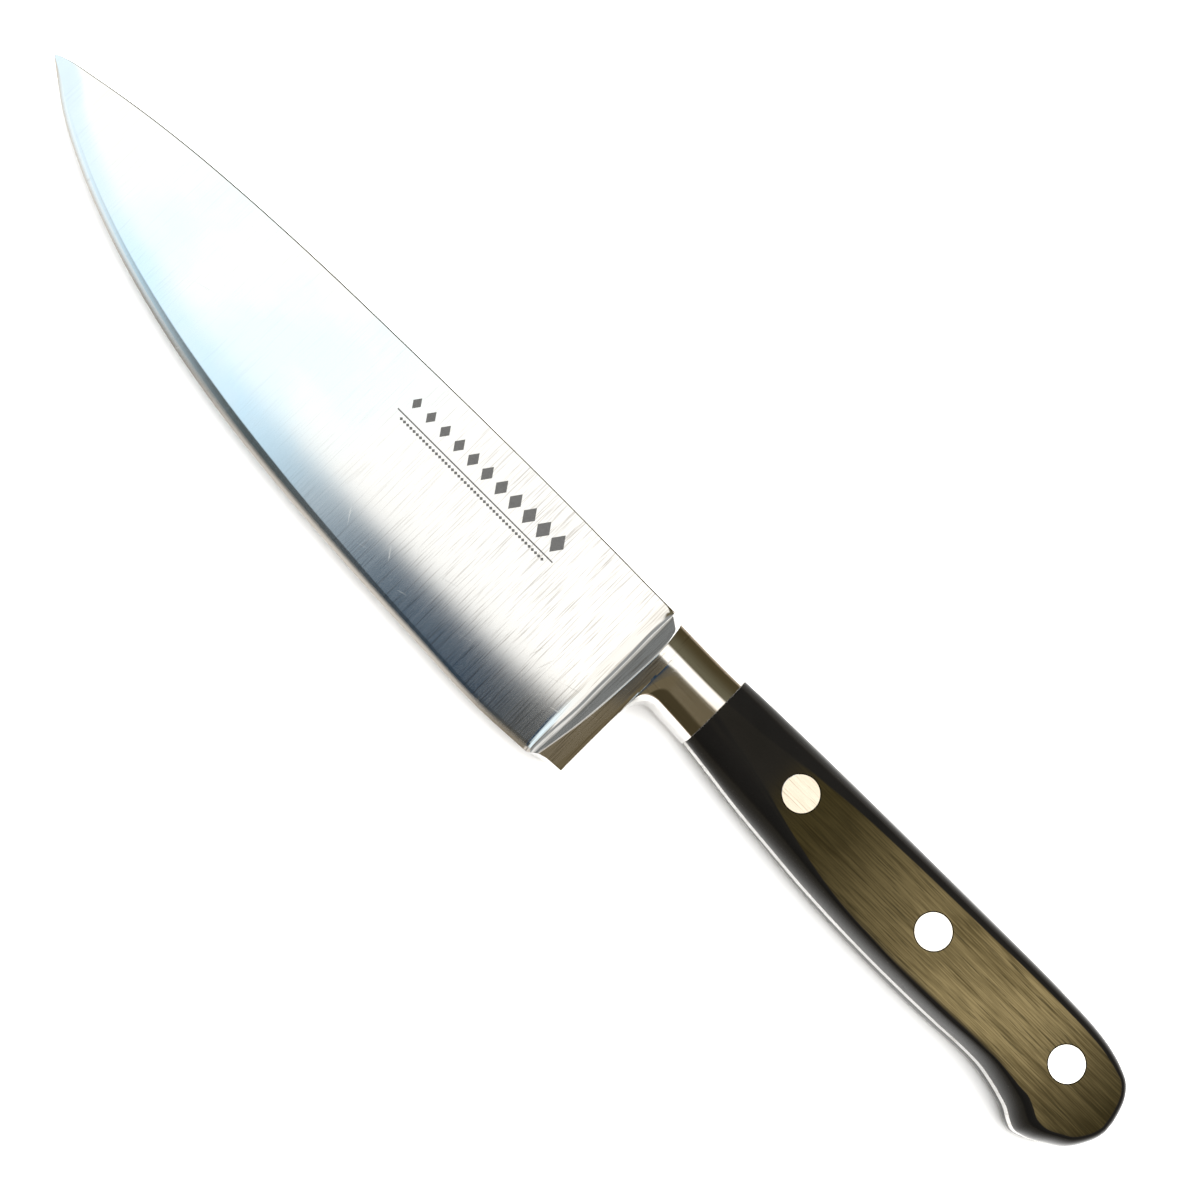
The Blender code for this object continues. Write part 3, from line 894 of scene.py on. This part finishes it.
etched_dark = bpy.data.materials.new("etched_dark")
mark_start, mark_end = placed(90, -2.3, 0), placed(125.5, -2.3, 0)
mark_start.z = mark_end.z = 0
etched_mark = grown("etched_mark", [(0, 0, 0)], etched_tree("etched_row"), {
    "Start": mark_start, "End": mark_end, "Count": 11, "Lozenge radius": 2.2 * MM,
    "Growth": 0.4, "Small count": 45, "Small radius": 0.36 * MM, "Small drop": 4.0 * MM,
    "Thickness": 0.012 * MM, "Rule drop": 3.1 * MM, "Rule width": 0.26 * MM,
    "Ground": knife_forging, "Material": etched_dark,
})
print("etched mark:", len(etched_mark.data.polygons), "faces, top z",
      round(max(v.co.z for v in etched_mark.data.vertices) / MM, 2), "mm")

# %% [markdown]
# ## A group for ground steel
#
# A belt or a wheel leaves fine straight lines. They run from spine to edge on the blade and
# lengthwise on the handle's parts, so the group takes a stretch: it squeezes a noise across
# the lines and draws it out along them. Fine and middling lines add up, and a broad noise
# keeps them from being even. A third, shorter noise is cut to separate strokes, the odd deep
# lines that a coarse grain leaves. The group gives a height for the bump, a roughness, a tone
# for the colour and the strokes.

# %% Shader group: ground lines
FINE_LINES, MIDDLING_LINES, STROKE_LINES, BROAD_PATCHES = 4200, 1300, 3300, 45


def noise(tree, coordinates, stretch, scale, detail=2.0):
    """Noise on coordinates multiplied by a stretch vector."""
    squeezed = vector_maths(tree, "MULTIPLY", coordinates, stretch)
    return node(tree, "ShaderNodeTexNoise", Vector=squeezed, Scale=scale, Detail=detail,
                Roughness=0.55).outputs["Fac"]


tree, given, out = opened(
    "ground_lines", "ShaderNodeTree",
    [("Coordinates", "Vector"), ("Stretch", "Vector", (1, 0.02, 0.02)),
     ("Roughness", "Float", 0.2), ("Variation", "Float", 0.1)],
    [(label, "Float") for label in ("Roughness", "Height", "Tone", "Strokes")],
)
ground_lines, here, stretch = tree, given["Coordinates"], given["Stretch"]
lines = maths(tree, "ADD", maths(tree, "MULTIPLY", noise(tree, here, stretch, FINE_LINES), 0.6),
              maths(tree, "MULTIPLY", noise(tree, here, stretch, MIDDLING_LINES), 0.4))
broad = noise(tree, here, (1, 1, 1), BROAD_PATCHES, 3)
drift = maths(tree, "MULTIPLY", maths(tree, "SUBTRACT", broad, 0.5), 0.5)
uneven = maths(tree, "ADD", maths(tree, "SUBTRACT", lines, 0.5), drift)
change = maths(tree, "MULTIPLY", uneven, given["Variation"])
short = noise(tree, here, vector_maths(tree, "ADD", stretch, (0.01, 0.01, 0.01)), STROKE_LINES, 4)
for label, result in (
    ("Roughness", maths(tree, "ADD", given["Roughness"], change)),
    ("Height", lines),
    ("Tone", maths(tree, "ADD", 0.5, uneven, clamp=True)),
    ("Strokes", maths(tree, "MULTIPLY", maths(tree, "SUBTRACT", short, 0.54), 8, clamp=True)),
):
    link(tree, result, out[label])
print("group", ground_lines.name, "puts out", [socket.name for socket in out if socket.name])

# %% [markdown]
# ## A group for handling marks
#
# Acetal and polished steel pick up hair-fine scratches in every direction and a faint film
# from hands. Three noises, each drawn out along its own direction and cut to thin lines, make
# the scratches; a soft large one makes the film.

# %% Shader group: handling marks
tree, given, out = opened(
    "handling_marks", "ShaderNodeTree",
    [("Coordinates", "Vector"), ("Density", "Float", 0.5)],
    [("Scratches", "Float"), ("Film", "Float")],
)
handling_marks = tree
marks = None
cutoff = maths(tree, "MULTIPLY_ADD", given["Density"], -0.1, 0.76)
for turn, seed in ((0.35, 0.0), (-0.6, 3.0), (1.3, 7.0)):
    spin = node(tree, "ShaderNodeMapping", Vector=given["Coordinates"],
                Rotation=(0, 0, turn), Location=(seed, seed, 0))
    streak = noise(tree, spin.outputs[0], (1, 0.06, 0.4), 1500, 1)
    mark = maths(tree, "MULTIPLY", maths(tree, "SUBTRACT", streak, cutoff), 14, clamp=True)
    marks = mark if marks is None else maths(tree, "MAXIMUM", marks, mark)
link(tree, marks, out["Scratches"])
link(tree, noise(tree, given["Coordinates"], (1, 1.4, 1), 110, 4), out["Film"])
print("group", handling_marks.name, "is ready")

# %% [markdown]
# ## Finishes of the steel
#
# Every steel surface is the same alloy, so the colour hardly changes; what tells them apart is how they
# were last ground. The blade is satin with lines from spine to edge, so its reflections are drawn out
# along the knife, which is what anisotropy does. Its colour carries faint painted patches of bluish
# reflection towards the tip, and more strokes towards the heel. The honed bevel is brighter, the bolster
# and shank are nearly polished, and the tang and rivets were ground together with the scales, along the
# handle.

# %% Steel materials


def along_knife(tree, here, low, high):
    """0 at low and 1 at high, both in millimetres from the tip."""
    return smooth_range(tree, separated(tree, here)["X"], TIP_X + low * MM, TIP_X + high * MM)


def painted_blue_reflection(tree, colour, here):
    """Soft patches of painted bluish reflection in the steel's colour, strongest halfway to the tip."""
    reflection_patches = noise(tree, here, (1, 1.3, 1), 38, 3)
    reflection_patches = maths(tree, "MULTIPLY", maths(tree, "SUBTRACT", reflection_patches, 0.36), 4, clamp=True)
    within = maths(tree, "MULTIPLY", along_knife(tree, here, 5, 40), along_knife(tree, here, 105, 70))
    # This pale blue is a painted reflection mixed into the steel's colour.
    return blend(tree, maths(tree, "MULTIPLY", reflection_patches, within), colour, (0.52, 0.6, 0.64))


def heel_strokes(tree, colour, strokes, here):
    """Thin dark strokes of the last grinding, which show more towards the heel."""
    near = maths(tree, "MULTIPLY_ADD", along_knife(tree, here, 70, 135), 0.42, 0.05)
    return blend(tree, maths(tree, "MULTIPLY", strokes, near), colour, (0.16, 0.14, 0.12))


def surfaced(material, stretch, roughness, variation, density):
    """The parts every such finish shares: its shader, coordinates and both groups."""
    material.use_nodes = True
    tree = material.node_tree
    here = tree.nodes.new("ShaderNodeTexCoord").outputs["Object"]
    made = []
    for source, values in (
        (ground_lines, {"Stretch": stretch, "Roughness": roughness, "Variation": variation}),
        (handling_marks, {"Density": density}),
    ):
        made.append(tree.nodes.new("ShaderNodeGroup"))
        made[-1].node_tree = source
        for label, value in {**values, "Coordinates": here}.items():
            feed(tree, made[-1].inputs[label], value)
    return tree, tree.nodes["Principled BSDF"], here, made[0].outputs, made[1].outputs


def relieved(tree, shader, height, strength, distance):
    bump = node(tree, "ShaderNodeBump", Height=height, Strength=strength, Distance=distance)
    link(tree, bump.outputs[0], shader.inputs["Normal"])


def steel(material, stretch, roughness, variation, bump, dark, light,
          anisotropic=0.0, marks=0.3, reflection_and_strokes=False, stroked=0.0):
    """Turns a material into ground steel; stretch says which way the lines run."""
    tree, shader, here, lines, handled = surfaced(material, stretch, roughness, variation, marks)
    shader.inputs["Metallic"].default_value = 1
    shader.inputs["Anisotropic"].default_value = anisotropic
    if anisotropic:
        along = tree.nodes.new("ShaderNodeTangent")
        along.direction_type, along.uv_map = "UV_MAP", "grain"
        link(tree, along.outputs[0], shader.inputs["Tangent"])
    colour = blend(tree, lines["Tone"], dark, light)
    if reflection_and_strokes:
        # The painted blue reflection patches come first, then the grinding strokes near the heel.
        colour = heel_strokes(tree, painted_blue_reflection(tree, colour, here), lines["Strokes"], here)
    if stroked:
        colour = blend(tree, maths(tree, "MULTIPLY", lines["Strokes"], stroked), colour, (0.2, 0.17, 0.12))
    link(tree, colour, shader.inputs["Base Color"])
    rough = maths(tree, "MULTIPLY_ADD", handled["Scratches"], 0.08, lines["Roughness"])
    link(tree, rough, shader.inputs["Roughness"])
    height = maths(tree, "MULTIPLY_ADD", handled["Scratches"], -0.15, lines["Height"])
    relieved(tree, shader, height, bump, 0.000005)


SPINE_TO_EDGE, LENGTHWISE = (1, 0.02, 0.02), (0.03, 1, 0.03)
STEELS = {
    # The blade's flag turns on the painted blue reflection and the heel strokes.
    "blade_ground": ((SPINE_TO_EDGE, 0.09, 0.03, 0.09, (0.56, 0.57, 0.57), (0.63, 0.63, 0.625)),
                     {"anisotropic": 0.8, "marks": 0.05, "reflection_and_strokes": True}),
    "bevel_honed": ((SPINE_TO_EDGE, 0.14, 0.06, 0.2, (0.6, 0.59, 0.57), (0.68, 0.67, 0.65)), {}),
    "bolster_polished": ((SPINE_TO_EDGE, 0.07, 0.04, 0.15, (0.54, 0.53, 0.51), (0.62, 0.61, 0.59)),
                         {"stroked": 0.45}),
    "shank_polished": ((LENGTHWISE, 0.07, 0.03, 0.08, (0.56, 0.55, 0.53), (0.62, 0.61, 0.59)),
                       {"stroked": 0.15}),
    "tang_edge": ((LENGTHWISE, 0.26, 0.12, 0.25, (0.5, 0.49, 0.47), (0.6, 0.59, 0.57)),
                  {"stroked": 0.4}),
}
for finish in FINISHES:
    settings, extras = STEELS[finish]
    material = bpy.data.materials.new(finish)
    steel(material, *settings, **extras)
    knife_forging.data.materials.append(material)
steel(rivet_steel, LENGTHWISE, 0.12, 0.06, 0.2, (0.56, 0.54, 0.5), (0.66, 0.64, 0.6), stroked=0.35)
print("steel finishes:", [m.name for m in knife_forging.data.materials])

# %% [markdown]
# ## Etched metal and black acetal
#
# Etching turns the steel matt and nearly black. Acetal is a dense black plastic with a soft gloss. It is
# buffed and black on the rounded rims and at the bolster. Its flat flank is sanded together with the
# rivets, which makes it rougher and lined. Its colour also carries a painted brown sheen, a warm
# reflection put into the base colour, which fades towards both ends. Sanding, wear or light could each
# give that tone, and which of them does isn't known, so its colours and its fade are set to match the
# look. The surface's own upright normal tells the two apart, so no outline has to be drawn.

# %% Etched and acetal materials


def etched(material):
    material.use_nodes = True
    tree = material.node_tree
    shader = tree.nodes["Principled BSDF"]
    shader.inputs["Metallic"].default_value = 0.5
    here = tree.nodes.new("ShaderNodeTexCoord").outputs["Object"]
    grit = noise(tree, here, (1, 1, 1), 3500, 3)
    link(tree, blend(tree, grit, (0.05, 0.05, 0.05), (0.12, 0.12, 0.12)), shader.inputs["Base Color"])
    link(tree, maths(tree, "MULTIPLY_ADD", grit, 0.25, 0.42), shader.inputs["Roughness"])


def acetal(name):
    material = bpy.data.materials.new(name)
    tree, shader, here, lines, handled = surfaced(material, LENGTHWISE, 0.0, 0.25, 0.45)
    shader.inputs["IOR"].default_value = 1.45
    shader.inputs["Specular Tint"].default_value = (1.0, 0.82, 0.46, 1)
    shader.inputs["Specular IOR Level"].default_value = 0.04
    normal = separated(tree, tree.nodes.new("ShaderNodeNewGeometry").outputs["Normal"])
    flat = smooth_range(tree, maths(tree, "ABSOLUTE", normal["Z"]), 0.9935, 0.9999)
    # The flat flank's mask gives it sanded roughness and lines, and also the painted brown sheen in its
    # colour.
    sanded_and_sheen = maths(tree, "MULTIPLY", flat, along_knife(tree, here, 178, 192))
    middle = maths(tree, "MULTIPLY", along_knife(tree, here, 190, 240), along_knife(tree, here, 270, 240))
    buffed = blend(tree, handled["Film"], (0.003, 0.003, 0.0028), (0.006, 0.0055, 0.005))
    grain = node(tree, "ShaderNodeMapRange", Value=lines["Tone"], From_Min=0.36, From_Max=0.64).outputs[0]
    # The brown is a painted sheen, a warm reflection put into the base colour, dim at both ends and pale
    # in the middle.
    dim_sheen = blend(tree, grain, (0.0065, 0.0048, 0.0015), (0.015, 0.0115, 0.004))
    pale_sheen = blend(tree, grain, (0.044, 0.033, 0.014), (0.115, 0.089, 0.043))
    brown = blend(tree, middle, dim_sheen, pale_sheen)
    brown = blend(tree, maths(tree, "MULTIPLY", lines["Strokes"], 0.6), brown, (0.006, 0.005, 0.002))
    link(tree, blend(tree, sanded_and_sheen, buffed, brown), shader.inputs["Base Color"])
    rough = maths(tree, "MULTIPLY_ADD", sanded_and_sheen, 0.15, 0.12)
    rough = maths(tree, "MULTIPLY_ADD", handled["Scratches"], 0.1, rough)
    rough = maths(tree, "MULTIPLY_ADD", lines["Roughness"], sanded_and_sheen, rough)
    link(tree, rough, shader.inputs["Roughness"])
    relieved(tree, shader, maths(tree, "MULTIPLY", lines["Height"], sanded_and_sheen), 0.3, 0.00001)
    return material


etched(etched_dark)
black_acetal = acetal("black_acetal")
for piece in (left_scale, right_scale):
    piece.data.materials.clear()
    piece.data.materials.append(black_acetal)
print("acetal on", left_scale.name, "and", right_scale.name)

# %% [markdown]
# ## What each piece stands for
#
# Every finished piece rides on the knife's one body and takes the place of its imported solid, which stays
# in the model for collision only, hidden.

# %% Tie the pieces to the frame
MALES = [f"rivet_{label}_male" for label in RIVET_LABELS]
FEMALES = [f"rivet_{label}_female" for label in RIVET_LABELS]
for piece, slot, nodes in (
    (knife_forging, "forged_steel", ["forged_blade"]),
    (left_scale, "black_acetal", ["scale_left"]),
    (right_scale, "black_acetal", ["scale_right"]),
    (left_rivets, "rivet_steel", MALES),
    (right_rivets, "rivet_steel", FEMALES),
    (etched_mark, "forged_steel", []),
):
    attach(piece, "root")
    if nodes:
        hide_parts(*nodes)
print("pieces tied:", 6)

# %% [markdown]
# ## Table and light
#
# Bright steel shows its surroundings, so the surroundings are the lighting. The sky is a
# studio tent, laid out by the direction that a reflection looks in: `rx` towards the butt,
# `ry` towards the spine, `rz` up. A wide white panel hangs overhead, slightly behind the
# spine, with a brighter lamp over the handle. Its front edge stops just short of straight
# up, so the lower flank near the heel mirrors the dark blue gap in front of it, while the
# flank nearer the tip mirrors a pale one. A low card in front lights the bevel. The walls
# are a warm olive brown, which the bolster and the shank mirror, and grey towards the tip,
# which the bolster's hollow mirrors. A sun with a very broad disc, hidden from reflections,
# whitens the table.

# %% Floor
TABLE_HALF = 3.0
floor_mesh = bpy.data.meshes.new("table_top")
floor_mesh.from_pydata(
    [(-TABLE_HALF, -TABLE_HALF, 0), (TABLE_HALF, -TABLE_HALF, 0),
     (TABLE_HALF, TABLE_HALF, 0), (-TABLE_HALF, TABLE_HALF, 0)], [], [(0, 1, 2, 3)])
table_top = in_scene("table_top", floor_mesh)
table_white = bpy.data.materials.new("table_white")
table_white.use_nodes = True
table_shader = table_white.node_tree.nodes["Principled BSDF"]
for label, value in (("Base Color", (0.9, 0.9, 0.9, 1)), ("Roughness", 0.8), ("Specular IOR Level", 0.1)):
    table_shader.inputs[label].default_value = value
floor_mesh.materials.append(table_white)
print("table", 2 * TABLE_HALF, "m wide")

# %% Studio sky
sky = bpy.data.worlds.new("studio_tent")
bpy.context.scene.world = sky
sky.use_nodes = True
tree = sky.node_tree
tree.nodes.clear()
rx, ry, rz = separated(tree, tree.nodes.new("ShaderNodeTexCoord").outputs["Generated"])
ramp, mixed = partial(smooth_range, tree), partial(blend, tree)


def times(first, *others):
    for other in others:
        first = maths(tree, "MULTIPLY", first, other)
    return first


def hump(value, centre, width):
    """1 at the centre, falling away like a bell."""
    away = maths(tree, "SUBTRACT", value, centre)
    return maths(tree, "EXPONENT", times(away, away, -1 / width ** 2))


# The walls: in front, behind the spine, at the horizon and beyond the tip.
walls = mixed(ramp(ry, -0.36, -0.48), (0.23, 0.185, 0.11), (0.09, 0.07, 0.035))
behind = mixed(ramp(ry, 0.5, 0.92), (0.22, 0.2, 0.13), (0.11, 0.085, 0.04))
walls = mixed(ramp(ry, 0.3, 0.42), walls, behind)
walls = mixed(times(ramp(rz, 0.22, 0.03), ramp(rx, -0.75, -0.55)), walls, (0.75, 0.62, 0.48))
walls = mixed(ramp(rx, -0.55, -0.75), walls, (0.48, 0.5, 0.51))
walls = mixed(ramp(rx, -0.91, -0.94), walls, (1.3, 1.3, 1.28))

# The gap before the panel: dark blue over the heel, pale towards the tip.
gap = mixed(ramp(rx, -0.05, -0.13), (0.005, 0.05, 0.115), (1.4, 1.65, 1.8))
gap = mixed(times(ramp(ry, 0.056, 0.04), hump(rx, -0.13, 0.085)), gap, (0.05, 0.04, 0.02))
in_gap = times(ramp(rx, 0.023, 0.018), ramp(rx, -0.6, -0.5), ramp(ry, -0.2, -0.12), ramp(ry, 0.3, 0.2))
walls = mixed(in_gap, walls, gap)

# The low card in front, dimmer where the bevel is seen a third of the way along.
card = maths(tree, "MULTIPLY_ADD", hump(rx, -0.225, 0.055), -0.85, 1.1)
in_card = times(ramp(ry, -0.4, -0.34), ramp(ry, -0.12, -0.18), ramp(rx, 0.008, -0.006))
walls = mixed(in_card, walls, scaled(tree, (1.0, 0.94, 0.86), card))

# The panel, with the lamp's strength along the knife.
panel = times(ramp(ry, 0.084, 0.1), ramp(ry, 0.44, 0.34), ramp(rz, 0.0, 0.1))
panel = times(panel, times(ramp(rx, 0.36, 0.25), ramp(rx, -0.8, -0.7)))
beside = times(ramp(rx, -0.35, -0.5), ramp(ry, 0.23, 0.3))
panel = times(panel, maths(tree, "SUBTRACT", 1.0, beside))
lamp = maths(tree, "MULTIPLY_ADD", hump(rx, 0.18, 0.05), 2.4, 1.8)
lamp = maths(tree, "MULTIPLY_ADD", hump(rx, 0.083, 0.025), -0.5, lamp)
lamp = maths(tree, "MULTIPLY_ADD", hump(rx, 0.04, 0.018), 0.6, lamp)
tint = mixed(hump(rx, 0.083, 0.03), (1.0, 0.98, 0.94), (1.0, 0.82, 0.58))
lit = mixed(panel, walls, scaled(tree, tint, lamp))
seen = tree.nodes.new("ShaderNodeLightPath").outputs["Is Camera Ray"]
glow = node(tree, "ShaderNodeBackground", Color=mixed(seen, lit, (1.0, 1.0, 1.0)), Strength=1.0)
link(tree, glow.outputs[0], tree.nodes.new("ShaderNodeOutputWorld").inputs["Surface"])
print("sky nodes:", len(tree.nodes))

# %% Broad sun
sun_data = bpy.data.lights.new("broad_sun", "SUN")
sun_data.energy, sun_data.angle = 8.5, math.radians(70)
sun = in_scene("broad_sun", sun_data)
sun.visible_glossy = False
sun.rotation_euler = (math.radians(-14), math.radians(8), 0)
print("sun", sun_data.energy)

# %% [markdown]
# ## The camera
#
# The camera hangs over the table and leans eleven degrees towards the cutting edge, so it
# sees the tang between the scales and the bolster's underside. It is turned by 45 degrees,
# which lays the knife from corner to corner of the frame.

# %% Camera
CAMERA_DISTANCE, LEAN, ROLL = 0.6, math.radians(11), math.radians(45)
FRAME_HEIGHT = 0.2148
aim = placed(136.8, -5.1, 0)
back = Vector((0, -math.sin(LEAN), math.cos(LEAN)))
across, upward = Vector((1, 0, 0)), Vector((0, math.cos(LEAN), math.sin(LEAN)))
right = across * math.cos(ROLL) + upward * math.sin(ROLL)
up = upward * math.cos(ROLL) - across * math.sin(ROLL)
camera_data = bpy.data.cameras.new("overhead")
camera_data.sensor_width = 36
camera_data.lens = 36 * CAMERA_DISTANCE / FRAME_HEIGHT
camera = in_scene("overhead", camera_data)
turned = Matrix((right, up, back)).transposed().to_4x4()
camera.matrix_world = Matrix.Translation(aim + back * CAMERA_DISTANCE) @ turned
bpy.context.scene.camera = camera
bpy.context.scene.view_settings.view_transform = "Standard"
print(f"lens {camera_data.lens:.0f} mm")
